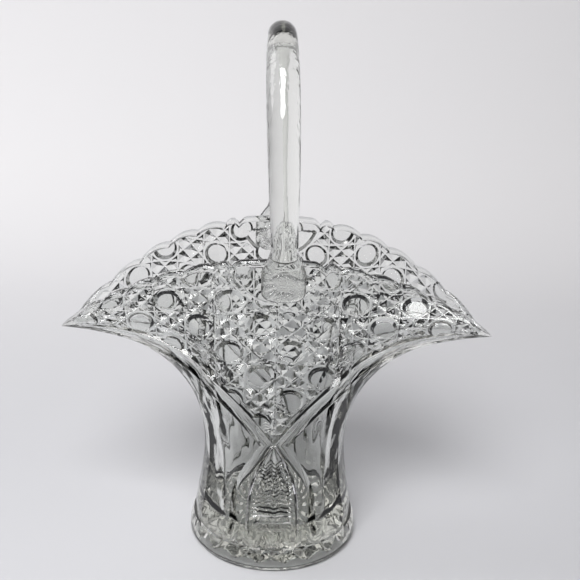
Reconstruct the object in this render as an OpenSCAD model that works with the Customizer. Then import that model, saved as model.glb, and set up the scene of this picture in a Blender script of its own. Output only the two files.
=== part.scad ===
// Pressed-glass basket: a boat-shaped body on a round foot, with cane-and-button
// lattice on its front and back and a plain hot-applied handle over its short way.
// Millimetres, +Z up, +X along the wings, the front faces -Y, the foot rests on Z = 0.

/* [Body] */
// Length from wing tip to wing tip
wing_span = 247; // [215:1:280]
// Height of the wing tips above the foot
wing_tip_z = 128; // [115:1:140]
// Height of the rim at the middle of the front and back
rim_z = 185; // [170:1:200]
// Depth of the body from front to back at the rim
rim_depth = 88; // [76:1:100]
// Diameter at the waist
waist_d = 81; // [72:1:90]
// Height of the waist
waist_z = 57; // [50:1:64]

/* [Glass thickness] */
// Width of the rim's edge
rim_wall = 3.2; // [2.4:0.1:6]
// Wall at the waist
waist_wall = 7; // [5:0.5:9]
// Solid length of each wing tip
tip_wall = 6; // [4:0.5:8]
// Height of the middle of the inside floor
floor_z = 16; // [12:1:20]

/* [Foot] */
// Largest diameter of the foot
foot_d = 100; // [92:1:110]
// Diameter of the flat that the foot rests on
foot_base_d = 96; // [88:1:100]
// Height of the largest diameter
foot_bulge_z = 3.5; // [2:0.5:5]
// Diameter of the step at the top of the foot
foot_top_d = 94; // [88:1:100]
// Height of the step at the top of the foot
foot_top_z = 14; // [11:1:17]
// Width of the ring that the foot stands on
foot_ring_w = 7; // [5:0.5:9]
// Depth of the recess under the foot
recess_depth = 1.5; // [1:0.5:3]
// Number of rays of the star under the foot
star_rays = 24; // [16:4:32]
// Depth of the star's rays
star_depth = 2.4; // [1:0.2:3]

/* [Lattice] */
// Number of lattice columns from the middle to a wing tip
cells_across = 7.5; // [6.5, 7.5, 8.5]
// Height of a lattice cell
cell_h = 14.6; // [12:0.1:17]
// Drop of the lattice rows from the middle to a wing tip
row_droop = 14; // [8:1:18]
// Relief of the lattice
relief = 2.4; // [1:0.1:2.8]
// Radius of a button's flat top as a share of a cell
button_share = 0.37; // [0.3:0.01:0.42]

/* [Rim] */
// Depth of the notch at each end of the plain tab
notch_depth = 3.2; // [2:0.1:4]
// Depth of the scallops beside the tab
scallop_depth = 2.2; // [1:0.1:3]
// Height of the plain tab below the rim
tab_h = 26; // [20:1:28]

/* [Crossing bands] */
// Height at which the two bands cross
crossing_z = 77.5; // [72:0.5:84]
// Half the width of the crossing
crossing_half_w = 7.5; // [6:0.5:9]
// Upward bow of the bands under the wings
band_bow = 9.5; // [6:0.5:12]
// Half the width of the arch's inside
arch_inner = 13; // [10:0.5:15]
// Half the width of the arch's outside
arch_outer = 25; // [22:0.5:28]
// Depth of the scooped bands and flutes
scoop = 1.4; // [0.6:0.1:2]

/* [Handle] */
// Height of the whole basket over the handle
overall_h = 300; // [270:1:320]
// Diameter of the handle at its top
rod_d = 15.2; // [12:0.1:18]
// Extra diameter halfway down the handle's legs
rod_swell = 1.4; // [0:0.1:2.5]
// Diameter of the handle's necks just above the pads
neck_d = 14; // [11:0.1:17]
// Sideways shift of the handle's front leg
rod_wander = 3; // [0:0.5:4]
// Sideways lean of the handle's top
rod_lean = 2.4; // [0:0.2:3]
// Width of the flattened pads
pad_w = 23; // [18:0.5:25]
// Thickness of the flattened pads
pad_t = 6.5; // [5:0.5:8]
// Length of the pads below the rim
pad_drop = 22; // [16:1:28]
// Sideways shift of the back pad
pad_shift = 3; // [0:0.5:4]

/* [Hidden] */

// Powers that shape the body's curves
rim_power = 2.3;
plan_power = 2.7;
keel_power = 2.35;
trough_power = 2.2;
band_power = 2.6;
arch_power = 1.7;
arch_share = 0.56;
droop_power = 1.2;
foot_power = 1.4;
crowd_power = 0.85;
bottom_power = 3;
fade_power = 4;
corner_power = 0.25;
// How far the trough form reaches below the waist at the middle
trough_reach = 450;

half_l = wing_span / 2;
cell_w = half_l / cells_across;
// How far the lower edges of the bands start below the crossing
elbow_drop = 1;
elbow = [crossing_half_w, crossing_z - elbow_drop];
// Taper of the inside below the waist, and rise of its tips as a share of tip_wall
inner_taper = 2;
tip_rise = 0.8;
// Least height of the wall that the trough form divides by
least_height = 0.5;

// A body surface is [half length, tip height, rim height, half depth, waist radius]
outer = [half_l, wing_tip_z, rim_z, rim_depth / 2, waist_d / 2];
inner = [half_l - tip_wall, wing_tip_z + tip_rise * tip_wall, rim_z,
         rim_depth / 2 - rim_wall, waist_d / 2 - waist_wall];

// Mesh steps: grid columns to a lattice cell and to a quarter of the body
per_cell = 4;
n_fine = 2 * round(cells_across * per_cell / 2);
step_x = half_l / n_fine;
// Columns of the lower body: inside the arch, on the arch and round its side
n_arch = 4;
n_band = 4;
n_side = n_fine / 2;
n_low = n_arch + n_band + n_side;
m_low = 11;
// Rows inside the body, above and below the middle of the wall
m_in_top = 3;
m_in_low = 6;
// Lattice rows below the rim, and the least distance from a grid point to an edge
rows_down = ceil((rim_z - crossing_z) / cell_h);
n_rows = per_cell * (rows_down + 1);
edge_gap = 0.6;

// Half length of the plain tab, its rounded corner and the short scallop beside it, in cells
tab_cells = 1.5;
corner_cells = 0.35;
first_cells = 0.5;
// Height of a star cell's middle point as a share of the relief
star_middle = 0.8;
// Tests on a place in a cell: well inside its border, and at its middle or on a diagonal
inside_border = 0.4;
at_point = 0.1;
// Rounding of the inside floor, edge of the star and its hub
floor_round = 5;
star_margin = 8;
star_hub_r = 9;

function clamp01(v) = min(1, max(0, v));
function mix(a, b, t) = a + (b - a) * t;
function ease(t) = let(c = clamp01(t)) c * c * (3 - 2 * c);

// Height of the plain rim line and half depth of the body under it
function rim_line(x, s) = s[1] + (s[2] - s[1]) * (1 - pow(clamp01(abs(x) / s[0]), rim_power));
function rim_half(x, s) = s[3] * (1 - pow(clamp01(abs(x) / s[0]), plan_power));

// Height of the keel at x: a superellipse from the waist to the wing tip
function keel_height(x, s) =
    let(t = clamp01((s[0] - abs(x)) / (s[0] - s[4])))
    abs(x) > s[4]
        ? waist_z + (s[1] - waist_z) * pow(max(0, 1 - pow(t, keel_power)), 1 / keel_power)
        : waist_z - trough_reach * (1 - abs(x) / s[4]);

// Radius of the round part below the waist
function low_radius(z, s) =
    let(taper = (foot_top_d - waist_d) / 2, t = clamp01((waist_z - z) / (waist_z - foot_top_z)))
    s == outer ? s[4] + taper * pow(t, foot_power) : s[4] - inner_taper * t;

// Half length of the section at height z
function section_half(z, s) =
    let(t = clamp01((z - waist_z) / (s[1] - waist_z)))
    z <= waist_z
        ? low_radius(z, s)
        : s[0] - (s[0] - s[4]) * pow(max(0, 1 - pow(t, keel_power)), 1 / keel_power);

// Half depth of the body: round at the waist, a trough along the wings
function depth(x, z, s) =
    let(a = section_half(z, s),
        b = z <= waist_z ? a : mix(s[4], s[3], (z - waist_z) / (s[2] - waist_z)),
        round_part = b * sqrt(max(0, 1 - pow(x / a, 2))),
        low = keel_height(x, s),
        share = max(0, z - low) / max(least_height, rim_line(x, s) - low),
        trough_part = rim_half(x, s) * pow(share, 1 / trough_power))
    mix(round_part, trough_part, ease((z - waist_z) / (s[1] - waist_z)));

// Rim: a plain tab, a short scallop and then one scallop to each cell
function rim_drop(i) =
    let(tab = tab_cells * per_cell,
        first = first_cells * per_cell,
        along = i - tab,
        corner = max(0, 1 + along / (corner_cells * per_cell)),
        wave = along < first ? 2 * along / first - 1
                             : 2 * ((along - first) % per_cell) / per_cell - 1)
    i <= tab ? notch_depth * corner * corner : scallop_depth * wave * wave;
function rim_height(i, s) =
    rim_line(i / n_fine * s[0], s) - (i == n_fine ? 0 : rim_drop(i));

// Upper edge of a band, which is the lower edge of the lattice
function band_top(x) =
    let(t = clamp01(abs(x) / half_l))
    crossing_z + (wing_tip_z - crossing_z) * (1 - pow(1 - t, band_power))
        + band_bow * 4 * t * (1 - t);
// Lower edge of a band, which is the upper edge of the side flutes
function band_bottom_x(t) = mix(elbow[0], half_l, t);
function band_bottom(t) =
    let(x = band_bottom_x(t),
        start = band_top(elbow[0]) - elbow[1])
    band_top(x) - start * (1 - pow(t, bottom_power));

// Lattice: star cells and button cells in turn, on a grid of quarter cells
function row_height(i, j) =
    rim_z - cell_h * rows_down + j * cell_h / per_cell
        - row_droop * pow(i / n_fine, droop_power);
function cell_of(g) = floor(g / per_cell);
function in_cell(g) = (g - cell_of(g) * per_cell) / per_cell - 0.5;
function is_button(i, j, flip) = (cell_of(i) + cell_of(j) + flip) % 2 == 0;
function is_raised(i, j) = abs(in_cell(i)) < inside_border && abs(in_cell(j)) < inside_border;
function on_tab(x, z) = pow(x / (tab_cells * cell_w), 2) + pow((rim_z - z) / tab_h, 2) < 1;
// Star cells rise to a middle point and to four corner points
function star_level(u, v) =
    abs(u) + abs(v) < at_point ? star_middle : abs(abs(u) - abs(v)) < at_point ? 1 : 0;
function lattice_level(i, j, flip) =
    !is_raised(i, j) ? 0
    : is_button(i, j, flip) ? 1
    : star_level(in_cell(i), in_cell(j));
// Shift of a grid point onto the round edge of a button's top, in cells
function button_shift(i, j, flip) =
    let(u = in_cell(i), v = in_cell(j), r = norm([u, v]))
    is_raised(i, j) && is_button(i, j, flip) && r > at_point
        ? [u, v] * (button_share / r - 1)
        : [0, 0];

// First and last grid row of column i that lie between the band and the rim
function low_row(i) =
    len([for (j = [0 : n_rows]) if (row_height(i, j) < band_top(i * step_x) + edge_gap) j]) - 1;
function high_row(i) =
    len([for (j = [0 : n_rows]) if (row_height(i, j) < rim_height(i, outer) - edge_gap) j]);
low_rows = [for (i = [0 : n_fine]) low_row(i)];
high_rows = [for (i = [0 : n_fine]) high_row(i)];

// Points of a quarter are [x, distance from the X axis, z]
wing_tip = [half_l, 0, wing_tip_z];
function band_edge_point(i) =
    let(x = i * step_x, z = band_top(x))
    i == n_fine ? wing_tip : [x, depth(x, z, outer) + relief, z];
function rim_point(i) =
    let(x = i * step_x, z = rim_height(i, outer))
    i == n_fine ? wing_tip : [x, depth(x, z, outer) + relief / 2, z];
function lattice_point(i, j, flip) =
    i == n_fine ? wing_tip
    : j <= low_rows[i] ? band_edge_point(i)
    : j >= high_rows[i] ? rim_point(i)
    : let(z = row_height(i, j),
          plain = on_tab(i * step_x, z),
          shift = plain ? [0, 0] : button_shift(i, j, flip),
          px = i * step_x + shift[0] * cell_w,
          pz = z + shift[1] * cell_h,
          level = plain ? 1 : lattice_level(i, j, flip))
      [px, depth(px, pz, outer) + relief * level, pz];

// Scooped band between the lattice and the side flutes, r = 0 at its lower edge
function band_point(i, r) =
    let(t = i / n_fine,
        up = r / n_band,
        x = mix(band_bottom_x(t), i * step_x, up),
        z = mix(band_bottom(t), band_top(i * step_x), up),
        fade = 1 - pow(t, fade_power))
    i == n_fine ? wing_tip
    : r == n_band ? band_edge_point(i)
    : [x, depth(x, z, outer) + fade * (relief - scoop * 4 * up * (1 - up)), z];

// Rows crowd towards the wing tips, where the keel turns flat
function crowd(t) = pow(cos(90 * clamp01(t)), crowd_power);

// Outside below the bands, down to the step of the foot
// Share of the fall over which the flute inside the arch opens
flute_opening = 0.2;
arch_inner_a = asin(arch_inner / (foot_top_d / 2));
arch_outer_a = asin(arch_outer / (foot_top_d / 2));
function side_share(c) = (c - n_arch - n_band) / n_side;
function low_start(c) =
    c <= n_arch ? band_edge_point(0)
    : c <= n_arch + n_band ? band_point(0, n_arch + n_band - c)
    : band_point(2 * (c - n_arch - n_band), 0);
function low_angle(c) =
    c <= n_arch ? arch_inner_a * c / n_arch
    : c <= n_arch + n_band ? mix(arch_inner_a, arch_outer_a, (c - n_arch) / n_band)
    : mix(arch_outer_a, 90, side_share(c));
function arch_ease(t) = 1 - pow(1 - clamp01(t / arch_share), arch_power);
// Hollow across a flute: 0 on its ridges and 1 in its middle
function bowl(t) = 4 * t * (1 - t);
function hollow(c) =
    c <= n_arch ? bowl(c / n_arch)
    : c <= n_arch + n_band ? bowl((c - n_arch) / n_band)
    : side_share(c) < 0.5 ? bowl(2 * side_share(c))
    : bowl(side_share(c) - 0.5);
function low_point(c, k) =
    let(start = low_start(c),
        z = mix(foot_top_z, start[2], crowd(k / m_low)),
        fall = (start[2] - z) / (start[2] - foot_top_z),
        bend = c <= n_arch + n_band ? arch_ease(fall)
                                    : mix(arch_ease(fall), ease(fall), side_share(c)),
        u = mix(start[0] / section_half(start[2], outer), sin(low_angle(c)), bend),
        x = section_half(z, outer) * u,
        y = c == n_low ? 0 : depth(x, z, outer),
        above = clamp01((z - waist_z) / (wing_tip_z - waist_z)),
        opening = c <= n_arch ? ease(fall / flute_opening) : 1,
        rise = ease((z - foot_top_z) / foot_top_z) * (1 - above)
               * (relief - scoop * hollow(c) * opening),
        out = rise / max(1, norm([x, y])))
    k == 0 ? start : [x + out * x, y + out * y, z];

// Foot, resting ring, recess and star, as rings [radius, height, share of the star's depth]
ring_r = foot_base_d / 2 - foot_ring_w;
foot_swell = 1;
foot_rings = [
    [(foot_top_d + foot_d) / 4 + foot_swell, (foot_top_z + foot_bulge_z) / 2, 0],
    [foot_d / 2, foot_bulge_z, 0],
    [foot_base_d / 2, 0, 0],
    [ring_r, 0, 0],
    [ring_r - recess_depth, recess_depth, 0],
    [ring_r - star_margin, recess_depth, 1],
    [star_hub_r, recess_depth, 1]];
last_ring = len(foot_rings) - 1;
function star_wave(a) = abs(2 * ((a * star_rays / 360) % 1) - 1);
function foot_point(c, k) =
    let(ring = foot_rings[k], a = low_angle(c))
    [ring[0] * sin(a), c == n_low ? 0 : ring[0] * cos(a),
     ring[1] + ring[2] * star_depth * star_wave(a)];

// Inside, from the rim (k = 0) down to the floor
floor_edge_z = floor_z + floor_round;
// Middle row of the wall, as a share of the way down to the waist or to the keel
mid_to_waist = 0.45;
mid_to_keel = 0.5;
// Where the keel starts, in waist radii, and how far the floor's curve reaches in and up
keel_start = 1.1;
floor_reach = 0.8;
floor_lift = 0.2;
function inner_mid(t, x, z_top) =
    let(z_keel = keel_height(max(x, keel_start * inner[4]), inner))
    mix(mix(z_top, waist_z, mid_to_waist), mix(z_top, z_keel, mid_to_keel), ease(2 * t));
function inner_point(q, k) =
    let(t = 2 * q / n_fine,
        x_top = t * inner[0],
        z_top = rim_height(2 * q, inner),
        z_mid = inner_mid(t, x_top, z_top),
        down = (k - m_in_top) / m_in_low,
        z = k <= m_in_top ? mix(z_top, z_mid, k / m_in_top)
                          : mix(floor_edge_z, z_mid, crowd(down)),
        u = mix(x_top / section_half(z_mid, inner), sin(90 * t), ease(down)),
        x = k <= m_in_top ? x_top : section_half(z, inner) * u)
    t == 1 && k <= m_in_top ? [inner[0], 0, inner[1]]
    : [x, t == 1 ? 0 : depth(x, z, inner), z];
function floor_point(q) =
    let(a = 90 * 2 * q / n_fine, r = floor_reach * low_radius(floor_edge_z, inner))
    [r * sin(a), q == n_side ? 0 : r * cos(a), mix(floor_z, floor_edge_z, floor_lift)];

// Triangles of a four-cornered patch, cut along its rising or its falling diagonal
function cut_rising(a, b, c, d) = [[a, b, c], [a, c, d]];
function cut_falling(a, b, c, d) = [[a, b, d], [b, c, d]];
// Triangles between a coarse edge, a to b, and the two short edges f0 to f1 to f2 above it
function cut_step(a, b, f0, f1, f2) = [[a, f1, f0], [a, b, f1], [b, f2, f1]];
// Triangles of a grid of points, listed column by column
function grid_faces(g) =
    [for (c = [0 : len(g) - 2], k = [0 : len(g[0]) - 2])
        each cut_rising(g[c][k], g[c + 1][k], g[c + 1][k + 1], g[c][k + 1])];

// The lattice's lines run along the rising or the falling diagonals of the quarter cells
function rising_line(i, j, flip) =
    let(s = (i - j + 4 * flip + 4 + 8 * n_rows) % 8)
    s == 1 || s == 7;
function lattice_faces(flip) =
    let(g = [for (i = [0 : n_fine]) [for (j = [0 : n_rows]) lattice_point(i, j, flip)]])
    [for (i = [0 : n_fine - 1], j = [0 : n_rows - 1])
        let(a = g[i][j], b = g[i + 1][j], c = g[i + 1][j + 1], d = g[i][j + 1])
        each rising_line(i, j, flip) ? cut_rising(a, b, c, d) : cut_falling(a, b, c, d)];

band_faces = concat(
    grid_faces([for (i = [0 : n_fine]) [for (r = [1 : n_band]) band_point(i, r)]]),
    [for (q = [0 : n_side - 1])
        each cut_step(band_point(2 * q, 0), band_point(2 * q + 2, 0),
                      band_point(2 * q, 1), band_point(2 * q + 1, 1), band_point(2 * q + 2, 1))]);

foot_middle = [0, 0, recess_depth];
low_faces = grid_faces([for (c = [0 : n_low])
    [for (k = [last_ring + 1 : -1 : 0]) k > last_ring ? foot_middle : foot_point(c, k),
     each [for (k = [m_low : -1 : 0]) low_point(c, k)]]]);

floor_middle = [0, 0, floor_z];
inner_faces = grid_faces([for (q = [0 : n_side])
    [each [for (k = [0 : m_in_top + m_in_low]) inner_point(q, k)], floor_point(q), floor_middle]]);
rim_faces = [for (q = [0 : n_side - 1])
    each [for (f = cut_step(inner_point(q, 0), inner_point(q + 1, 0),
                            rim_point(2 * q), rim_point(2 * q + 1), rim_point(2 * q + 2)))
        [f[0], f[2], f[1]]]];

plain_faces = concat(band_faces, low_faces, inner_faces, rim_faces);

// One quarter of the body's faces, mirrored into its place
function placed(p, sx, sy) = [p[0] * sx, p[1] * sy, p[2]];
function quarter(sx, sy) =
    let(flip = sx == -sy ? 0 : 1)
    [for (f = concat(plain_faces, lattice_faces(flip)))
        if (f[0] != f[1] && f[1] != f[2] && f[2] != f[0])
            let(g = [for (p = f) placed(p, sx, sy)])
            sx * sy < 0 ? [g[0], g[2], g[1]] : g];

module body() {
    faces = concat(quarter(1, -1), quarter(1, 1), quarter(-1, 1), quarter(-1, -1));
    corners = [for (f = faces) each f];
    polyhedron(corners, [for (n = [0 : len(faces) - 1]) [3 * n, 3 * n + 1, 3 * n + 2]]);
}

// Handle: slices [x, y, z, turn about X, width, thickness] from the front pad to the back pad
rod_top_z = overall_h - rod_d / 2;
leg_foot_z = rim_z + rod_d / 2;
leg_y = rim_depth / 2 + relief + (neck_d - rim_wall) / 4;
// Share of the handle's rise over which its necks widen
neck_share = 0.4;
// The pad is pressed flat, spreads and ends blunt, each as a share of its length
pad_press = 0.8;
pad_spread = 0.5;
blunt_start = 0.8;
blunt_reach = 0.22;
// How far the pad sinks into the wall
pad_sink = 1;
function arch_slice(a) =
    let(y = -leg_y * cos(a),
        z = mix(leg_foot_z, rod_top_z, sin(a)),
        turn = -atan2(leg_y * sin(a), (rod_top_z - leg_foot_z) * cos(a)),
        swell = rod_swell * pow(sin(2 * a), 2),
        d = mix(neck_d, rod_d, ease(sin(a) / neck_share)) + swell)
    [rod_wander * pow(cos(a / 2), 2) - rod_lean * sin(a), y, z, turn, d, d];
// Pad slices run down the outside of the body, t = 0 at the leg and 1 at the blunt tip
function pad_slice(t, side) =
    let(z = mix(leg_foot_z, rim_z - pad_drop, t),
        press = ease(t / pad_press),
        blunt = 1 - pow(max(0, t - blunt_start) / blunt_reach, 2),
        w = mix(neck_d, pad_w, ease(t / pad_spread)) * pow(blunt, corner_power),
        d = mix(neck_d, pad_t, press) * sqrt(blunt),
        wall = depth(0, min(z, rim_z), outer) + relief,
        y = mix(leg_y, wall + d / 2 - pad_sink, press))
    [side < 0 ? rod_wander : -pad_shift * ease(t / pad_spread), side * y, z,
     side < 0 ? 0 : -180, w, d];
n_arch_slices = 22;
n_pad_slices = 8;
rod_sides = 16;
handle_slices = concat(
    [for (k = [n_pad_slices : -1 : 1]) pad_slice(k / n_pad_slices, -1)],
    [for (k = [0 : n_arch_slices]) arch_slice(180 * k / n_arch_slices)],
    [for (k = [1 : n_pad_slices]) pad_slice(k / n_pad_slices, 1)]);

// Outline of a slice, a flattened circle turned about X
function slice_points(s) =
    [for (m = [0 : rod_sides - 1])
        let(a = 360 * m / rod_sides, v = s[5] / 2 * sin(a))
        [s[0] + s[4] / 2 * cos(a), s[1] + v * cos(s[3]), s[2] + v * sin(s[3])]];

module handle() {
    n = rod_sides;
    last = len(handle_slices) - 1;
    sides = [for (k = [0 : last - 1], m = [0 : n - 1])
        let(a = k * n + m, b = k * n + (m + 1) % n)
        each [[a, b + n, b], [a, a + n, b + n]]];
    caps = [[for (m = [0 : n - 1]) m], [for (m = [n - 1 : -1 : 0]) last * n + m]];
    polyhedron([for (s = handle_slices) each slice_points(s)], concat(sides, caps));
}

// The handle is fused to the body while hot, so the two are one piece of glass
module basket() {
    color([0.82, 0.86, 0.84, 0.5]) union() {
        body();
        handle();
    }
}

basket();
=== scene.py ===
"""Pressed-glass basket: a boat-shaped body with a cane-and-button lattice, fused to a hand-pulled handle.

Metres. +Z is up, the wings lie along X, the front faces -Y and the foot rests on Z = 0. The sizes are those
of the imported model, which is loaded as a fixed frame; the finer surfaces here stand for its one node.
"""

import bpy
import numpy as np
from mathutils import Matrix, Vector


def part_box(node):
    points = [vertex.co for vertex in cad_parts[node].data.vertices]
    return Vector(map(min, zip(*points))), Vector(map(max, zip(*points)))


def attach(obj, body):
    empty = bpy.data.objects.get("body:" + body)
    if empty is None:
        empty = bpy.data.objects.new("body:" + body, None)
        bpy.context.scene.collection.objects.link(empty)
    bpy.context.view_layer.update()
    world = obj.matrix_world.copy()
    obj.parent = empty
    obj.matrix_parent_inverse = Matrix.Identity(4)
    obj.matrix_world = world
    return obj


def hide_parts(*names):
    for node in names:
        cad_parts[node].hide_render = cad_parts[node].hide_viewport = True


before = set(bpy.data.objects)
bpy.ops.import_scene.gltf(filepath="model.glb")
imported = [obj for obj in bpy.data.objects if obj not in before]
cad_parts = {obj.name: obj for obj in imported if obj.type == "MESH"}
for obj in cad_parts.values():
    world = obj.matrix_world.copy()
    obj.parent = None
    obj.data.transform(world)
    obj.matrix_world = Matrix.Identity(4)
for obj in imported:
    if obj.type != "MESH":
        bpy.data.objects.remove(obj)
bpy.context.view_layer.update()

bl_info = {
    "name": "Pressed Glass Basket",
    "version": (1, 0, 0),
    "blender": (4, 5, 0),
    "location": "3D View > Sidebar > Glass Basket",
    "description": "Builds a pressed-glass basket with its lattice, its handle and its stage",
    "category": "Add Mesh",
}

MM = 0.001
BOX_HIGH = np.array(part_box("basket")[1])

# Powers that shape the body's curves, and the share of the arch's height over which it widens
RIM_POWER = 2.3
PLAN_POWER = 2.7
KEEL_POWER = 2.35
TROUGH_POWER = 2.2
BAND_POWER = 2.6
ARCH_POWER = 1.7
ARCH_SHARE = 0.56
DROOP_POWER = 1.2
FOOT_POWER = 1.4
CROWD_POWER = 0.85
# Height over which the rim's edge is rounded, height of the plain lip below it and how far the lip stands out
RIM_ROUND = 1.8 * MM
LIP_H = 4.2 * MM
LIP_OUT = 1.7 * MM
# Share of the lip's height at which it stands out in full
LIP_FULL = 0.8
# Share of the way to the arch's inner edge at which its bead starts
BEAD_START = 0.82
# How fast the keel falls below the waist, inside the waist's radius
KEEL_REACH = 0.45
# Share of the foot's height over which the lower body's relief fades in
FOOT_EASE = 0.6
# Level below the wall, in reliefs, down to which the raised parts reach into it
SUNK = -0.35
# Half depth of the solids that clip the lattice
CLIP_Y = 0.08
# Widening of the tab's outline that is kept free of the lattice
TAB_MARGIN = 1.03
# Angle between two faces, in degrees, from which their edge looks sharp
SHARP_EDGE = 14

# Noise scales of the glass, in repeats per metre: waves, swirls and streaks along X, Y and Z, and stipple
WAVE_SCALE = 90.0
SWIRL_SCALE = (75, 75, 32)
STREAK_SCALE = (260, 260, 22)
STIPPLE_SCALE = 750.0

# Floor and backdrop in metres: half width, front edge, the backdrop's place and height, the sweep's radius
FLOOR_HALF = 2.2
FLOOR_FRONT = -1.6
BACKDROP_Y = 0.75
BACKDROP_H = 1.6
SWEEP_RADIUS = 0.35
# Dark cards on the floor outside the camera's view, by their corners (x, y)
CARD_COLOUR = (0.012, 0.012, 0.014)
CARDS = (("card_front", ((-0.6, -0.6), (0.6, -0.6), (0.6, -0.066), (-0.6, -0.066))),
         ("card_left", ((-0.17, -0.06), (-0.7, -0.06), (-0.7, 0.5), (-0.35, 0.5))),
         ("card_right", ((0.17, -0.06), (0.7, -0.06), (0.7, 0.5), (0.35, 0.5))))

# Camera: pitch, roll and yaw in degrees, then its place to the right, forwards and up, in millimetres
CAMERA_PITCH, CAMERA_ROLL, CAMERA_YAW = 19.414, 1.651, 0.547
CAMERA_RIGHT, CAMERA_FORWARD, CAMERA_UP = 6.775, -502.958, 330.601


def length(name, text, millimetres, low=0.0):
    """A length property in metres, given in millimetres."""
    return bpy.props.FloatProperty(name=name, description=text, default=millimetres * MM, min=low * MM,
                                   unit="LENGTH", precision=4)


def factor(name, text, value, low=0.0, high=1.0):
    """A plain number without a unit."""
    return bpy.props.FloatProperty(name=name, description=text, default=value, min=low, max=high)


def count(name, text, value, low=1, high=400):
    """A whole number, such as the steps of a grid."""
    return bpy.props.IntProperty(name=name, description=text, default=value, min=low, max=high)


def colour(name, text, value):
    """A linear colour without alpha."""
    return bpy.props.FloatVectorProperty(name=name, description=text, default=value, size=3, subtype="COLOR",
                                         min=0.0, max=1.0)


class BasketBodySettings(bpy.types.PropertyGroup):
    """Sizes of the pressed body."""
    wing_span: length("Wing span", "Length from wing tip to wing tip", 2000 * BOX_HIGH[0])
    wing_tip_z: length("Wing tip height", "Height of the wing tips above the foot", 128)
    rim_z: length("Rim height", "Height of the rim at the middle of the front and back", 185)
    rim_depth: length("Rim depth", "Depth of the body from front to back at the rim", 88)
    waist_d: length("Waist diameter", "Diameter at the waist", 81)
    waist_z: length("Waist height", "Height of the waist", 57)
    rim_wall: length("Rim wall", "Thickness of the wall at the rim", 3.2)
    waist_wall: length("Waist wall", "Thickness of the wall at the waist", 7)
    tip_wall: length("Tip wall", "Solid length of each wing tip", 6)
    floor_z: length("Inside floor", "Height of the middle of the inside floor", 16)
    foot_d: length("Foot diameter", "Largest diameter of the foot", 100)
    foot_base_d: length("Foot base diameter", "Diameter of the flat that the foot rests on", 96)
    foot_bulge_z: length("Foot bulge height", "Height of the foot's largest diameter", 3.5)
    foot_top_d: length("Foot top diameter", "Diameter of the step at the top of the foot", 94)
    foot_top_z: length("Foot top height", "Height of the step at the top of the foot", 14)
    foot_ring_w: length("Resting ring", "Width of the ring that the foot stands on", 7)
    recess_depth: length("Recess depth", "Depth of the recess under the foot", 1.5)
    star_rays: count("Star rays", "Number of rays of the star under the foot", 18)
    star_depth: length("Star depth", "Depth of the star's rays", 3.2)
    crossing_z: length("Crossing height", "Height at which the two bands cross", 77.5)
    crossing_half_w: length("Crossing half width", "Half the width of the crossing", 7.5)
    band_bow: length("Band bow", "Upward bow of the bands under the wings", 9.5)
    arch_inner: length("Arch inside", "Half the width of the arch's inside", 13)
    arch_outer: length("Arch outside", "Half the width of the arch's outside", 25)
    scoop: length("Scoop", "Depth of the scooped bands and flutes", 1.4)


class BasketLatticeSettings(bpy.types.PropertyGroup):
    """Sizes of the lattice on the front and back."""
    cells_across: factor("Cells across", "Lattice columns from the middle to a wing tip", 7.5, 4, 12)
    cell_h: length("Cell height", "Height of a lattice cell", 14.6)
    row_droop: length("Row droop", "Drop of the lattice rows from the middle to a wing tip", 14)
    relief: length("Relief", "Height of the buttons and points over the lines between them", 2.4)
    back_squeeze: factor("Back squeeze", "Width of the back's cells against the front's", 0.915, 0.8, 1.0)
    back_lift: length("Back lift", "Rise of the back's rows towards the wings", 11)
    line_w: factor("Line width", "Half the width of a line as a share of a cell", 0.02)
    diagonal: factor("Diagonal place", "Where the diagonal lines cross a star cell's axes, in cells", 0.3)
    button_top: factor("Button top", "Radius of a button's flat top, in cells", 0.35)
    button_foot: factor("Button foot", "Radius of a button at the lines, in cells", 0.455)
    rib_pitch: length("Rib pitch", "Distance between the zigzag ribs in the arch", 2.4)
    rib_relief: length("Rib relief", "Height of the zigzag ribs in the arch", 0.9)
    arch_low: length("Arch foot", "Height at which the arch's line starts", 25)
    arch_line_w: length("Arch line", "Width of the raised line along the arch's edge", 2.2)
    zigzag_w: length("Zigzag width", "Width of one zigzag of the ribs", 5.5)
    zigzag_h: length("Zigzag height", "Height of the zigzag of the topmost rib", 3.6)
    tab_h: length("Tab height", "Height of the plain tab below the rim", 26)
    notch_depth: length("Notch depth", "Depth of the notch at each end of the tab", 3.2)
    scallop_depth: length("Scallop depth", "Depth of the scallops beside the tab", 2.2)


class BasketHandleSettings(bpy.types.PropertyGroup):
    """Sizes of the hand-pulled handle."""
    overall_h: length("Overall height", "Height of the whole basket over the handle", 1000 * BOX_HIGH[2])
    rod_d: length("Rod diameter", "Diameter of the handle at its top", 15.2)
    rod_swell: length("Rod swell", "Extra diameter halfway down the legs", 1.4)
    neck_d: length("Neck diameter", "Diameter of the handle's necks just above the pads", 14)
    rod_wander: length("Rod wander", "Sideways shift of the front leg", 3)
    rod_lean: length("Rod lean", "Sideways lean of the handle's top", 2.4)
    pad_w: length("Pad width", "Width of the flattened pads", 23)
    pad_t: length("Pad thickness", "Thickness of the flattened pads", 6.5)
    pad_drop: length("Pad drop", "Length of the pads below the rim", 22)
    pad_shift: length("Pad shift", "Sideways shift of the back pad", 3)
    crimp: length("Crimp", "Depth of the tool's crimps on the pads", 1.3)


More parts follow.
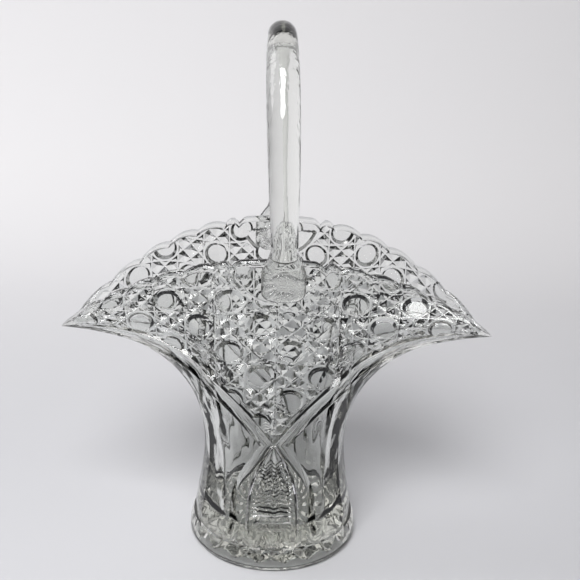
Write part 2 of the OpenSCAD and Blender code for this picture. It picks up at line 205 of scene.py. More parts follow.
class BasketGlassSettings(bpy.types.PropertyGroup):
    """Look of the glass."""
    tint: colour("Tint", "Colour that a thin wall lets through", (0.965, 0.975, 0.965))
    depth_tint: colour("Depth tint", "Colour of thick glass", (0.66, 0.66, 0.57))
    depth_density: factor("Depth density", "Strength of the depth tint, per metre", 11.0, 0.0, 100.0)
    refraction: factor("Refractive index", "Refractive index of the soda-lime glass", 1.52, 1.3, 2.0)
    waviness: length("Waviness", "Height of the fire-polished surface's waves", 0.1)
    swirls: length("Swirls", "Height of the stronger waves in the plain glass below the lattice", 1.2)
    streaks: length("Streaks", "Height of the handle's drawn streaks", 0.45)
    stipple: length("Stipple", "Height of the tool's points on the pads", 0.6)


class BasketStageSettings(bpy.types.PropertyGroup):
    """Floor, backdrop, lights and camera."""
    floor_colour: colour("Floor", "Colour of the floor", (0.55, 0.55, 0.57))
    wall_colour: colour("Backdrop", "Colour of the backdrop", (0.78, 0.77, 0.78))
    lens: factor("Lens", "Focal length of the camera on a 36 mm sensor, in millimetres", 58.647, 10, 300)
    world_light: factor("Studio light", "Strength of the studio's light on matt surfaces", 0.14, 0, 10)
    world_seen: factor("Studio seen", "Strength of the studio for the camera and the glass", 0.35, 0, 10)
    top_power: factor("Top light", "Power of the soft light above the front, in watts", 21.0, 0, 500)
    side_power: factor("Side light", "Power of the soft light at the left, in watts", 7.0, 0, 500)


def clamp01(v):
    """v held between 0 and 1."""
    return np.clip(v, 0.0, 1.0)


def mix(a, b, t):
    """The point at share t of the way from a to b."""
    return a + (b - a) * t


def ease(t):
    """Smooth step: 3 t^2 - 2 t^3 between 0 and 1."""
    t = clamp01(t)
    return t * t * (3 - 2 * t)


def bowl(t):
    """A parabola that is 0 at t = 0 and 1 and reaches 1 in the middle."""
    return 4 * t * (1 - t)


def superellipse(t):
    """The ordinate of a superellipse with the power KEEL_POWER at t: 1 at 0 and 0 at 1."""
    return np.maximum(0, 1 - t ** KEEL_POWER) ** (1 / KEEL_POWER)


class Surface:
    """One wall surface of the body: half length, tip height, rim height, half depth and waist radius."""

    def __init__(self, body, outside):
        step = 0.0 if outside else 1.0
        self.body = body
        self.outside = outside
        self.half_l = body.wing_span / 2 - step * body.tip_wall
        self.tip_z = body.wing_tip_z + step * 0.8 * body.tip_wall
        self.rim_z = body.rim_z
        self.half_d = body.rim_depth / 2 - step * body.rim_wall
        self.waist_r = body.waist_d / 2 - step * body.waist_wall

    def rim_line(self, x):
        """Plain rim height: falls from the middle to the tip with the power RIM_POWER of the distance."""
        return self.tip_z + (self.rim_z - self.tip_z) * (1 - clamp01(np.abs(x) / self.half_l) ** RIM_POWER)

    def rim_half(self, x):
        """Half depth under the rim: falls to the tip with the power PLAN_POWER of the distance."""
        return self.half_d * (1 - clamp01(np.abs(x) / self.half_l) ** PLAN_POWER)

    def keel(self, x):
        """Keel height: a superellipse from the waist to the tip, and below the waist inside its radius."""
        z0 = self.body.waist_z
        t = clamp01((self.half_l - np.abs(x)) / (self.half_l - self.waist_r))
        wing = z0 + (self.tip_z - z0) * superellipse(t)
        return np.where(np.abs(x) > self.waist_r, wing, z0 - KEEL_REACH * (1 - np.abs(x) / self.waist_r))

    def low_radius(self, z):
        """Radius of the round part below the waist."""
        b = self.body
        t = clamp01((b.waist_z - z) / (b.waist_z - b.foot_top_z))
        if self.outside:
            return self.waist_r + (b.foot_top_d - b.waist_d) / 2 * t ** FOOT_POWER
        return self.waist_r - 2 * MM * t

    def section_half(self, z):
        """Half length of the level section at z: the round part's radius or the keel's superellipse."""
        z0 = self.body.waist_z
        t = clamp01((z - z0) / (self.tip_z - z0))
        wing = self.half_l - (self.half_l - self.waist_r) * superellipse(t)
        return np.where(z <= z0, self.low_radius(z), wing)

    def depth(self, x, z):
        """Half depth at (x, z): an ellipse's at the waist that turns into a trough's along the wings."""
        z0 = self.body.waist_z
        a = self.section_half(z)
        b = np.where(z <= z0, a, mix(self.waist_r, self.half_d, (z - z0) / (self.rim_z - z0)))
        round_part = b * np.sqrt(np.maximum(0, 1 - (x / a) ** 2))
        low = self.keel(x)
        share = np.maximum(0, z - low) / np.maximum(0.5 * MM, self.rim_line(x) - low)
        trough_part = self.rim_half(x) * share ** (1 / TROUGH_POWER)
        return mix(round_part, trough_part, ease((z - z0) / (self.tip_z - z0)))


class Lattice:
    """Places on the lattice and the edges that bound it."""

    def __init__(self, body, lattice):
        self.body, self.sizes = body, lattice
        self.half_l = body.wing_span / 2
        self.cell_w = self.half_l / lattice.cells_across
        self.rows_down = int(np.ceil((body.rim_z - body.crossing_z) / lattice.cell_h))

    def height(self, x, row):
        """Height at x of a lattice row, counted in cells from the lowest: rows droop to the wing tips."""
        droop = self.sizes.row_droop * clamp01(np.abs(x) / self.half_l) ** DROOP_POWER
        return self.body.rim_z + (row - self.rows_down) * self.sizes.cell_h - droop

    def rim_drop(self, x):
        """How far the rim lies below its plain line: none on the tab, a notch, then parabolic scallops."""
        s = self.sizes
        across = np.abs(x) / self.cell_w
        along = across - 1.5
        wave = np.where(along < 0.5, 4 * along - 1, 2 * np.mod(along - 0.5, 1) - 1)
        drop = s.scallop_depth * wave ** 2
        notch = (s.notch_depth - s.scallop_depth) * clamp01(1 - np.abs(along) / 0.15)
        corner = clamp01(1 + along / 0.35) ** 2
        tip = clamp01((self.half_l - np.abs(x)) / (4 * MM))
        return np.where(along < 0, s.notch_depth * corner, drop + notch) * tip

    def rim(self, x, surface):
        """Rim height with its notches; x is on the outside surface and is scaled to the given one."""
        return surface.rim_line(x / self.half_l * surface.half_l) - self.rim_drop(x)

    def band_top(self, x):
        """Lower edge of the lattice: a power curve from the crossing to the wing tip plus a parabolic bow."""
        b = self.body
        t = clamp01(np.abs(x) / self.half_l)
        return (b.crossing_z + (b.wing_tip_z - b.crossing_z) * (1 - (1 - t) ** BAND_POWER)
                + b.band_bow * bowl(t))

    def band_low(self, t):
        """(x, z) of the band's lower edge at share t of the way to the tip."""
        b = self.body
        x = mix(b.crossing_half_w, self.half_l, t)
        start = self.band_top(b.crossing_half_w) - (b.crossing_z - 1 * MM)
        return x, self.band_top(x) - start * (1 - t ** 3)


def stack(x, y, z):
    """Arrays of x, y and z as one array of points."""
    return np.stack(np.broadcast_arrays(x, y, z), axis=-1)


def grid_triangles(points):
    """Triangles, as an array of corners, of a grid of points [column, row] with each patch cut in two."""
    a, b = points[:-1, :-1], points[1:, :-1]
    c, d = points[1:, 1:], points[:-1, 1:]
    first = np.stack([a, b, c], axis=-2).reshape(-1, 3, 3)
    second = np.stack([a, c, d], axis=-2).reshape(-1, 3, 3)
    return np.concatenate([first, second])


def weld(triangles, step=1e-7):
    """Points and faces from loose triangles: corners closer than step become one, and flat slivers go."""
    keys = np.round(triangles.reshape(-1, 3) / step).astype(np.int64)
    unique, index = np.unique(keys, axis=0, return_inverse=True)
    faces = index.reshape(-1, 3)
    real = (faces[:, 0] != faces[:, 1]) & (faces[:, 1] != faces[:, 2]) & (faces[:, 2] != faces[:, 0])
    return unique * step, faces[real]


def body_quarter(body, lattice):
    """Loose triangles of the body's quarter with x and y positive, without the lattice's raised parts.

    Every patch is a grid over the same columns, from the middle of a side to the wing tip: the wall under
    the lattice, the scooped band, the lower body down to the foot, the foot's rings and the inside.
    """
    net = Lattice(body, lattice)
    outer, inner = Surface(body, True), Surface(body, False)
    n = 2 * int(round(net.sizes.cells_across * 6))
    x = np.linspace(0, net.half_l, n + 1)
    t = x / net.half_l
    relief = lattice.relief
    tip = np.array([net.half_l, 0, body.wing_tip_z])

    # Wall under the lattice: from the band's ridge up to the rim
    top, low = net.rim(x, outer), net.band_top(x)
    fade = 1 - t[:, None] ** 4
    up = np.concatenate([[0], np.linspace(0.05, 1, 12)])
    lip = np.array([0.12, 0.3, 0.55, 0.8, 1.0])
    edge_z = top[:, None] - RIM_ROUND * fade
    start_z = np.maximum(edge_z - (LIP_H - RIM_ROUND) * fade, mix(low[:, None], edge_z, 0.5))
    z = np.concatenate([mix(low[:, None], start_z, up), mix(start_z, edge_z, lip)], axis=1)
    lip_out = LIP_OUT * np.sin(np.pi / 2 * np.minimum(1, lip / LIP_FULL))
    level = np.concatenate([[relief], np.zeros(len(up) - 1), lip_out])
    wall = stack(x[:, None], outer.depth(x[:, None], z) + level * fade, z)
    wall[-1] = tip

    # Scooped band: a parabolic hollow between its lower and its upper edge
    n_band = 8
    r = np.linspace(0, 1, n_band + 1)
    x_low, z_low = net.band_low(t)
    bx, bz = mix(x_low[:, None], x[:, None], r), mix(z_low[:, None], low[:, None], r)
    band = stack(bx, outer.depth(bx, bz) + fade * (relief - body.scoop * bowl(r)), bz)
    band[-1] = tip
    band[:, -1] = wall[:, 0]

    # Lower body: inside the arch, on the arch and round its side
    n_arch, n_flank, n_rows = 11, n_band, 32
    corner = np.repeat(band[:1, -1], n_arch + 1, axis=0)
    start = np.concatenate([corner, band[0, -2::-1], band[1:, 0]])
    part = np.concatenate([np.linspace(0, 1, n_arch + 1), 1 + np.linspace(0, 1, n_flank + 1)[1:],
                           2 + t[1:]])[:, None]
    foot_r = body.foot_top_d / 2
    inner_a, outer_a = np.arcsin(body.arch_inner / foot_r), np.arcsin(body.arch_outer / foot_r)
    angle = np.interp(part, [0, 1, 2, 3], [0, inner_a, outer_a, np.pi / 2])
    side = clamp01(part - 2)
    down = np.cos(np.pi / 2 * np.linspace(0, 1, n_rows + 1))
    down = np.maximum(down, 0) ** CROWD_POWER
    z = mix(body.foot_top_z, start[:, 2:], down)
    fall = (start[:, 2:] - z) / (start[:, 2:] - body.foot_top_z)
    arch_ease = 1 - (1 - clamp01(fall / ARCH_SHARE)) ** ARCH_POWER
    bend = np.where(part <= 2, arch_ease, mix(arch_ease, ease(fall), side))
    u = mix(start[:, :1] / outer.section_half(start[:, 2:]), np.sin(angle), bend)
    lx = outer.section_half(z) * u
    ly = outer.depth(lx, z)
    ly[-1] = 0
    hollow = np.select([part <= 2, side < 0.5], [bowl(part - 1), bowl(clamp01(2 * side))],
                       bowl(clamp01(side - 0.5)))
    rise = np.where(part <= 1, arch_rise(body, relief, part, z), relief_rise(body, relief, z, hollow))
    out = rise / np.maximum(MM, np.hypot(lx, ly))
    lower = stack(lx * (1 + out), ly * (1 + out), z)
    lower[:, 0] = start

    # Foot: a bulged edge, the resting ring, the recess and the notched star rays
    ring_r = body.foot_base_d / 2 - body.foot_ring_w
    star_r = np.linspace(ring_r - 3 * MM, 6 * MM, 6).repeat(2) + np.tile([0.2 * MM, -0.2 * MM], 6)
    edge_a = np.linspace(0, np.pi / 2, 6)[1:]
    bulge_r = foot_r + (body.foot_d / 2 - foot_r) * np.sin(edge_a)
    bulge_z = body.foot_bulge_z + (body.foot_top_z - body.foot_bulge_z) * np.cos(edge_a)
    ring = [body.foot_base_d / 2, ring_r, ring_r - body.recess_depth]
    radius = np.concatenate([bulge_r, ring, star_r, [0]])
    height = np.concatenate([bulge_z, [0, 0], np.full(14, body.recess_depth)])
    cut = np.concatenate([np.zeros(8), 1 - 0.6 * ((np.arange(12) + 1) // 2 % 2), [0]])
    wave = np.abs(2 * np.mod(angle * body.star_rays / (2 * np.pi), 1) - 1)
    fz = height + cut * body.star_depth * wave
    foot = stack(radius * np.sin(angle), radius * np.cos(angle), fz)
    foot[-1, :, 1] = 0
    foot[:, -1] = [0, 0, body.recess_depth]

    # Inside: from the rim down to the floor
    n_top, n_low = 6, 22
    xi = t * inner.half_l
    zi = net.rim(x, inner) - RIM_ROUND * (1 - t ** 4)
    z_keel = inner.keel(np.maximum(xi, 1.1 * inner.waist_r))
    z_mid = mix(mix(zi, body.waist_z, 0.45), mix(zi, z_keel, 0.5), ease(2 * t))
    floor_edge = body.floor_z + 5 * MM
    top_rows = stack(xi[:, None], 0, mix(zi[:, None], z_mid[:, None], np.linspace(0, 1, n_top + 1)))
    top_rows[..., 1] = inner.depth(top_rows[..., 0], top_rows[..., 2])
    s = np.linspace(0, 1, n_low + 1)[1:]
    zl = mix(floor_edge, z_mid[:, None], np.maximum(np.cos(np.pi / 2 * s), 0) ** CROWD_POWER)
    ul = mix((xi / inner.section_half(z_mid))[:, None], np.sin(np.pi / 2 * t)[:, None], ease(s))
    xl = inner.section_half(zl) * ul
    low_rows = stack(xl, inner.depth(xl, zl), zl)
    floor_a = np.linspace(0, np.pi / 2, 8)[1:]
    floor_r = inner.low_radius(floor_edge) * np.cos(floor_a)
    floor_h = mix(floor_edge, body.floor_z, np.sin(floor_a))
    a = (np.pi / 2 * t)[:, None]
    floor = stack(floor_r * np.sin(a), floor_r * np.cos(a), floor_h)
    within = np.concatenate([top_rows, low_rows, floor], axis=1)
    within[-1, :n_top + 1] = [inner.half_l, 0, inner.tip_z]
    within[-1, :, 1] = 0
    within[:, -1] = [0, 0, body.floor_z]

    # Rim: from the outside to the inside over a rounded edge
    across = 0.5 - 0.5 * np.cos(np.linspace(0, np.pi, 9))[:, None]
    edge = mix(wall[:, None, -1], within[:, None, 0], across)
    edge[..., 2] += RIM_ROUND * fade * np.sqrt(np.maximum(0, 1 - (2 * across[:, 0] - 1) ** 2))
    down_the_outside = np.concatenate([lower, foot], axis=1)
    patches = [wall, band, down_the_outside[:, ::-1], edge, within]
    return np.concatenate([grid_triangles(p) for p in patches])[:, ::-1]


def relief_rise(body, relief, z, hollow):
    """How far the lower body stands out from the plain wall: the relief less its hollows.

    It fades in above the foot's step, and out again from the waist to the height of the wing tips.
    """
    above = clamp01((z - body.waist_z) / (body.wing_tip_z - body.waist_z))
    grown = ease((z - body.foot_top_z) / (FOOT_EASE * body.foot_top_z))
    return grown * (1 - above) * (relief - body.scoop * hollow)


def arch_rise(body, relief, part, z):
    """How far the lower body stands out inside the arch: two hollows beside a centre rib.

    part is the share of the way from the middle to the arch's inner edge.
    """
    fall = (body.crossing_z - z) / (body.crossing_z - body.foot_top_z)
    hollow = np.where(part < BEAD_START, bowl(part / BEAD_START), 0) * ease(fall * 5)
    return relief_rise(body, relief, z, hollow)


def arch_half(body, outer, z):
    """Half width of the arch's inside at height z."""
    fall = (body.crossing_z - z) / (body.crossing_z - body.foot_top_z)
    widen = 1 - (1 - clamp01(fall / ARCH_SHARE)) ** ARCH_POWER
    return outer.section_half(z) * body.arch_inner / (body.foot_top_d / 2) * widen


def arch_ribs(body, lattice):
    """Loose triangles of the zigzag ribs across the arch at the back: three-sided bars along its hollows.

    Each rib's height is its own plus a triangle wave of x, which grows from rib to rib upwards. Below the
    ribs lies one wide wedge that is thickest near its lower edge.
    """
    outer = Surface(body, True)
    low, high = lattice.arch_low + 8.5 * MM, body.crossing_z - 12 * MM
    base = np.arange(low, high, lattice.rib_pitch)[:, None, None]
    t = np.linspace(-1, 1, 37)[None, :, None]
    side = np.array([-1, 0, 1])[None, None, :]
    x = 0.95 * arch_half(body, outer, base) * t
    zigzag = np.abs(np.mod(x / lattice.zigzag_w + 0.25, 1) - 0.5) * 2
    grown = (base - low) / (high - low)
    z = base + zigzag * mix(0.3 * MM, lattice.zigzag_h, grown) + 0.42 * lattice.rib_pitch * side
    wedge = lattice.arch_low + np.array([0, 0.8, 7.0])[None, None, :] * MM + 0 * t
    x, z = np.concatenate([x, 1.05 * x[:1]]), np.concatenate([z, wedge])
    x, z = np.broadcast_arrays(x, z)
    part = np.abs(x) / np.maximum(MM / 10, arch_half(body, outer, z))
    height = np.append(np.full(len(base), lattice.rib_relief), 2 * lattice.rib_relief)[:, None, None]
    level = np.where(side == 0, height * (1 - t ** 6), -0.4 * MM)
    y = outer.depth(x, z)
    out = 1 + (arch_rise(body, lattice.relief, part, z) + level) / np.hypot(x, y)
    bars = stack(x * out, y * out, z)
    bars = np.concatenate([bars, bars[:, :, :1]], axis=2)
    pieces = [grid_triangles(bar) for bar in bars]
    pieces += [bars[:, 0, [0, 1, 2]], bars[:, -1, [0, 2, 1]]]
    return np.concatenate(pieces)[:, ::-1]


def arch_line(body, lattice):
    """Triangles of the raised line along the arch's edge at the back: one bar up to its point and down."""
    outer = Surface(body, True)
    z0, z1 = lattice.arch_low, body.crossing_z - 1.5 * MM
    way = np.linspace(0, np.pi, 97)[:, None]
    z = mix(z0, z1, np.sin(way))
    x = 1.08 * arch_half(body, outer, z) * np.sign(np.cos(way))
    x[48] = 0
    turn = np.gradient(np.concatenate([x, z], axis=1), axis=0)
    turn /= np.hypot(turn[:, :1], turn[:, 1:])
    side = np.array([-1, 0, 1])[None, :]
    reach = lattice.arch_line_w / 2 * side
    x, z = x + turn[:, 1:] * reach, z - turn[:, :1] * reach
    y = outer.depth(x, z)
    level = np.where(side == 0, lattice.rib_relief, -0.6 * MM)
    out = 1 + (arch_rise(body, lattice.relief, 1.0, z) + level) / np.hypot(x, y)
    bar = stack(x * out, y * out, z)
    bar = np.concatenate([bar, bar[:, :1]], axis=1)
    return np.concatenate([grid_triangles(bar), bar[:1, [0, 1, 2]], bar[-1:, [0, 2, 1]]])[:, ::-1]


def mirrored(triangles, sx, sy):
    """Loose triangles of the quarter with x and y positive in another quarter, facing outwards."""
    turned = triangles * np.array([sx, sy, 1])
    return turned[:, ::-1] if sx * sy < 0 else turned


def cone(outline, levels, apex=None):
    """A raised part of the lattice as (points, triangles), points being [u, v, level] in a cell.

    outline is its edge on the wall, anticlockwise; further rings follow inwards with their levels. The part
    goes down to the level SUNK, so that it reaches into the wall, and ends in a point or a flat top.
    """
    rings = [np.column_stack([outline[0], np.full(len(outline[0]), SUNK)])]
    rings += [np.column_stack([ring, np.full(len(ring), level)]) for ring, level in zip(outline, levels)]
    n, m = len(outline[0]), len(rings)
    middle = rings[0].mean(axis=0)
    top = np.append(rings[-1][:, :2].mean(axis=0), levels[-1]) if apex is None else np.array(apex)
    points = np.concatenate(rings + [[middle], [top]])
    k, i = np.meshgrid(np.arange(m - 1), np.arange(n), indexing="ij")
    a, b = k * n + i, k * n + (i + 1) % n
    first, second = np.stack([a, b, b + n], -1), np.stack([a, b + n, a + n], -1)
    sides = np.concatenate([first.reshape(-1, 3), second.reshape(-1, 3)])
    i = np.arange(n)
    bottom = np.stack([(i + 1) % n, i, np.full(n, m * n)], -1)
    lid = np.stack([(m - 1) * n + i, (m - 1) * n + (i + 1) % n, np.full(n, m * n + 1)], -1)
    return points, np.concatenate([sides, bottom, lid])


def turned_four(points):
    """A cell's part and its copies turned by a quarter, a half and three quarters."""
    turns = [np.array([[1, 0], [0, 1]]), np.array([[0, -1], [1, 0]]), np.array([[-1, 0], [0, -1]]),
             np.array([[0, 1], [-1, 0]])]
    return [np.column_stack([points[:, :2] @ turn.T, points[:, 2]]) for turn in turns]


def star_cell(s):
    """Raised parts of a star cell: a diamond pyramid, four kite pyramids and four small side pyramids."""
    c, w = s.diagonal, s.line_w
    d = w * np.sqrt(2)
    e = 0.5 - w
    diamond = cone([np.array([[c - d, 0], [0, c - d], [d - c, 0], [0, d - c]])], [0.0], apex=(0, 0, 0.95))
    kite = np.array([[c, d], [e, e - c + d], [e, e], [e - c + d, e], [d, c]])
    kite = cone([kite], [0.0], apex=(0.3, 0.3, 1.0))
    side = np.array([[c + d, 0], [e, -(e - c - d)], [e, e - c - d]])
    side = cone([side], [0.0], apex=(0.42, 0, 0.38))
    kites = [(p, kite[1]) for p in turned_four(kite[0])]
    sides = [(p, side[1]) for p in turned_four(side[0])]
    return [diamond] + kites + sides


def button_cell(s, sides=32):
    """Raised parts of a button cell: a round button with a slanted wall and four corner pyramids."""
    c, w = s.diagonal, s.line_w
    d = w * np.sqrt(2)
    e = 0.5 - w
    a = np.linspace(0, 2 * np.pi, sides, endpoint=False)
    circle = np.column_stack([np.cos(a), np.sin(a)])
    rings = [circle * s.button_foot, circle * s.button_top, circle * s.button_top * 0.6]
    button = cone(rings, [0.0, 1.0, 1.0])
    corner = np.array([[e, 1 - c + d - e], [e, e], [1 - c + d - e, e]])
    corner = cone([corner], [0.0], apex=(0.42, 0.42, 0.4))
    return [button] + [(p, corner[1]) for p in turned_four(corner[0])]


def lattice_parts(body, lattice, sy, flip, buttons):
    """Loose triangles of the buttons or of the points over the quarter with x and y positive.

    flip swaps star cells and button cells. At the back, where sy is 1, the cells are narrower and their rows
    rise towards the wings, as the flaring left them.
    """
    net, outer = Lattice(body, lattice), Surface(body, True)
    columns = np.arange(int(np.ceil(lattice.cells_across)) + 1)
    rows = np.arange(net.rows_down + 1)
    ci, cj = (g.ravel() for g in np.meshgrid(columns, rows, indexing="ij"))
    pieces = []
    cell = button_cell(lattice)
    kinds = [(True, cell[:1])] if buttons else [(True, cell[1:]), (False, star_cell(lattice))]
    for is_button, parts in kinds:
        chosen = ((ci + cj + flip) % 2 == 0) == is_button
        for points, faces in parts:
            x = (ci[chosen, None] + 0.5 + points[:, 0]) * net.cell_w
            z = net.height(x, cj[chosen, None] + 0.5 + points[:, 1])
            if sy > 0:
                x = x * lattice.back_squeeze
                z = z + lattice.back_lift * ease((np.abs(x) - 25 * MM) / (50 * MM))
            far = np.abs(x) < net.half_l - 1 * MM
            near = (z > net.band_top(x) - 14 * MM) & (z < net.rim(x, outer) + 14 * MM)
            keep = far.all(axis=1) & near.all(axis=1)
            x, z = x[keep], z[keep]
            y = outer.depth(x, z) + lattice.relief * points[:, 2]
            placed = stack(x, y, z)
            pieces.append(placed[:, faces[:, ::-1]].reshape(-1, 3, 3))
    return np.concatenate(pieces)


def lattice_region(body, lattice):
    """Triangles of the solid that the lattice may fill, between the band and the rim."""
    net, outer = Lattice(body, lattice), Surface(body, True)
    half = np.linspace(0, net.half_l - 2 * MM, 241)
    x = np.concatenate([-half[:0:-1], half])
    low, top = net.band_top(x) + 1.0 * MM, net.rim(x, outer) - LIP_H + 0.3 * MM
    top = np.maximum(top, low + 0.05 * MM)
    loop = [stack(x, -CLIP_Y, low), stack(x, CLIP_Y, low), stack(x, CLIP_Y, top), stack(x, -CLIP_Y, top)]
    tube = np.stack(loop + [loop[0]], axis=1)
    ends = [np.array([[tube[0, 0], tube[0, 2], tube[0, 1]], [tube[0, 0], tube[0, 3], tube[0, 2]]]),
            np.array([[tube[-1, 0], tube[-1, 1], tube[-1, 2]], [tube[-1, 0], tube[-1, 2], tube[-1, 3]]])]
    return np.concatenate([grid_triangles(tube)[:, ::-1]] + ends)


def tab_plate(body, lattice):
    """Triangles of the plain tab at the back: a half-ellipse plate with a steep edge.

    Its level is a lower plain strip just under the rim, which rises to a raised crescent over a slanted step.
    """
    net, outer = Lattice(body, lattice), Surface(body, True)
    a = np.linspace(np.pi, 2 * np.pi, 61)[:, None]
    r = np.concatenate([[0], np.linspace(0.12, 0.88, 24), [0.91, 0.95, 1]])
    x = 1.5 * net.cell_w * r * np.cos(a)
    fall = lattice.tab_h * r * np.sin(a)
    z = body.rim_z + fall
    step = ease((-fall - 7 * MM - 2 * MM * np.cos(a) ** 2) / (1.6 * MM))
    rise = mix(0.15, 1.1, step)
    rim = clamp01((r - 0.9) / 0.1)
    level = mix(rise, SUNK, rim)
    wall = outer.depth(x, np.minimum(z, outer.rim_line(x)))
    face = stack(x, wall + lattice.relief * level, z)
    back = stack(x, wall + SUNK * lattice.relief, z)
    back[:, -1] = face[:, -1]
    top = np.concatenate([face[0, ::-1], face[-1, 1:]])
    under = np.concatenate([back[0, ::-1], back[-1, 1:]])
    plate = np.concatenate([grid_triangles(face), grid_triangles(back)[:, ::-1],
                            grid_triangles(np.stack([top, under], axis=1))[:, ::-1]])
    return plate


def tab_region(body, lattice):
    """Triangles of the upright half-ellipse prism that the tab keeps free of the lattice, front and back."""
    net = Lattice(body, lattice)
    a = np.linspace(np.pi, 2 * np.pi, 61)
    x = TAB_MARGIN * 1.5 * net.cell_w * np.cos(a)
    z = body.rim_z + TAB_MARGIN * lattice.tab_h * np.sin(a)
    x, z = np.append(x, [x[-1], x[0]]), np.append(z, [z[0] + 9 * MM] * 2)
    loop = np.append(np.arange(len(x)), 0)
    middle = [np.array([0, y, body.rim_z]) for y in (-CLIP_Y, CLIP_Y)]
    rows = [np.broadcast_to(middle[0], (len(loop), 3)), stack(x[loop], -CLIP_Y, z[loop]),
            stack(x[loop], CLIP_Y, z[loop]), np.broadcast_to(middle[1], (len(loop), 3))]
    return grid_triangles(np.stack(rows, axis=1))[:, ::-1]


def handle_slices(body, lattice, handle):
    """Rows [x, y, z, turn about X, width, thickness] along the handle, from the front pad to the back pad.

    The legs and top follow half an ellipse; each pad runs down the outside of the wall, is pressed flat over
    most of its length, spreads and ends blunt.
    """
    outer = Surface(body, True)
    h = handle
    rod_top = h.overall_h - h.rod_d / 2
    leg_z = body.rim_z + h.rod_d / 2
    leg_y = body.rim_depth / 2 + lattice.relief + (h.neck_d - body.rim_wall) / 4
    a = np.linspace(0, np.pi, 73)
    thick = mix(h.neck_d, h.rod_d, ease(np.sin(a) / 0.4)) + h.rod_swell * np.sin(2 * a) ** 2
    turn = -np.arctan2(leg_y * np.sin(a), (rod_top - leg_z) * np.cos(a))
    arch = np.column_stack([h.rod_wander * np.cos(a / 2) ** 2 - h.rod_lean * np.sin(a), -leg_y * np.cos(a),
                            mix(leg_z, rod_top, np.sin(a)), turn, thick, thick])
    t = np.concatenate([np.linspace(0, 0.8, 41)[1:], np.linspace(0.8, 1, 13)[1:]])
    z = mix(leg_z, body.rim_z - h.pad_drop, t)
    press = ease(t / 0.8)
    blunt = 1 - (np.maximum(0, t - 0.8) / 0.2001) ** 2
    w = mix(h.neck_d, h.pad_w, ease(t / 0.5)) * blunt ** 0.35
    d = mix(h.neck_d, h.pad_t, press) * np.sqrt(blunt)
    wall = outer.depth(0 * z, np.minimum(z, body.rim_z)) + lattice.relief
    y = mix(leg_y, wall + mix(h.neck_d, h.pad_t, press) / 2 - 1 * MM, press)
    front = np.column_stack([h.rod_wander + 0 * t, -y, z, 0 * t, w, d])
    back = np.column_stack([-h.pad_shift * ease(t / 0.5), y, z, 0 * t - np.pi, w, d])
    return np.concatenate([front[::-1], arch, back])


def pad_marks(dx, dz, depth):
    """Depth of the tool's marks at (dx, dz) from a pad's middle: crimps at its left, an arc and a dent."""
    far = np.hypot(dx, dz)
    fan = np.cos(22 * np.arctan2(dz - 4 * MM, dx - 6 * MM))
    crimps = fan * ease((far - 3 * MM) / (3 * MM)) * ease((-2 * MM - dx) / (3 * MM))
    crimps = crimps * ease((4 * MM - dz) / (4 * MM))
    bow = dz - 6.5 * MM + dx ** 2 * 55
    arc = ease(1 - np.abs(bow) / (1.5 * MM)) * ease((7 * MM - np.abs(dx)) / (2 * MM))
    low = np.hypot(dx, 2.2 * (dz + 6 * MM))
    dent = ease((6 * MM - low) / (3 * MM)) * np.cos(low * 2 * np.pi / (4.5 * MM))
    return depth * (0.6 * crimps + 1.3 * arc + 0.9 * dent)


def handle_triangles(body, lattice, handle, sides=52):
    """Triangles of the handle: a flattened circle carried along its slices, closed at both blunt ends."""
    s = handle_slices(body, lattice, handle)[:, None, :]
    a = np.linspace(0, 2 * np.pi, sides + 1)
    a[-1] = 0
    v = s[..., 5] / 2 * np.sin(a)
    face = np.sqrt(np.maximum(0, -np.sin(a)))
    dz = s[..., 2] - (body.rim_z - 0.5 * handle.pad_drop)
    on_pad = ease((0.7 * handle.pad_drop - np.abs(dz)) / (3 * MM))
    v = v + face * pad_marks(s[..., 4] / 2 * np.cos(a), dz, handle.crimp) * on_pad
    x = s[..., 0] + s[..., 4] / 2 * np.cos(a)
    tube = stack(x, s[..., 1] + v * np.cos(s[..., 3]), s[..., 2] + v * np.sin(s[..., 3]))
    first = np.broadcast_to(tube[0, :-1].mean(axis=0), (1,) + tube.shape[1:])
    last = np.broadcast_to(tube[-1, :-1].mean(axis=0), (1,) + tube.shape[1:])
    return grid_triangles(np.concatenate([first, tube, last]))[:, ::-1]


def add_object(name, data):
    """A new object in the scene with the given mesh, light or camera."""
    obj = bpy.data.objects.new(name, data)
    bpy.context.scene.collection.objects.link(obj)
    return obj


def new_object(name, triangles):
    """A mesh object from loose triangles, welded, with its place in its mesh."""
    points, faces = weld(triangles)
    mesh = bpy.data.meshes.new(name)
    mesh.from_pydata(points, [], faces.tolist())
    mesh.update()
    return add_object(name, mesh)


def combine(obj, other, operation):
    """Joins or cuts obj by another solid, applies it and removes the other."""
    modifier = obj.modifiers.new(operation.title(), "BOOLEAN")
    modifier.operation, modifier.solver, modifier.object = operation, "MANIFOLD", other
    with bpy.context.temp_override(object=obj, active_object=obj, selected_objects=[obj]):
        bpy.ops.object.modifier_apply(modifier=modifier.name)
    if not len(obj.data.polygons):
        raise RuntimeError(f"{obj.name}: the {operation.lower()} left nothing")
    bpy.data.objects.remove(other)


def settings():
    """The scene's settings for the basket: body, lattice, handle, glass and stage."""
    return [getattr(bpy.context.scene, name) for name, _ in GROUPS]


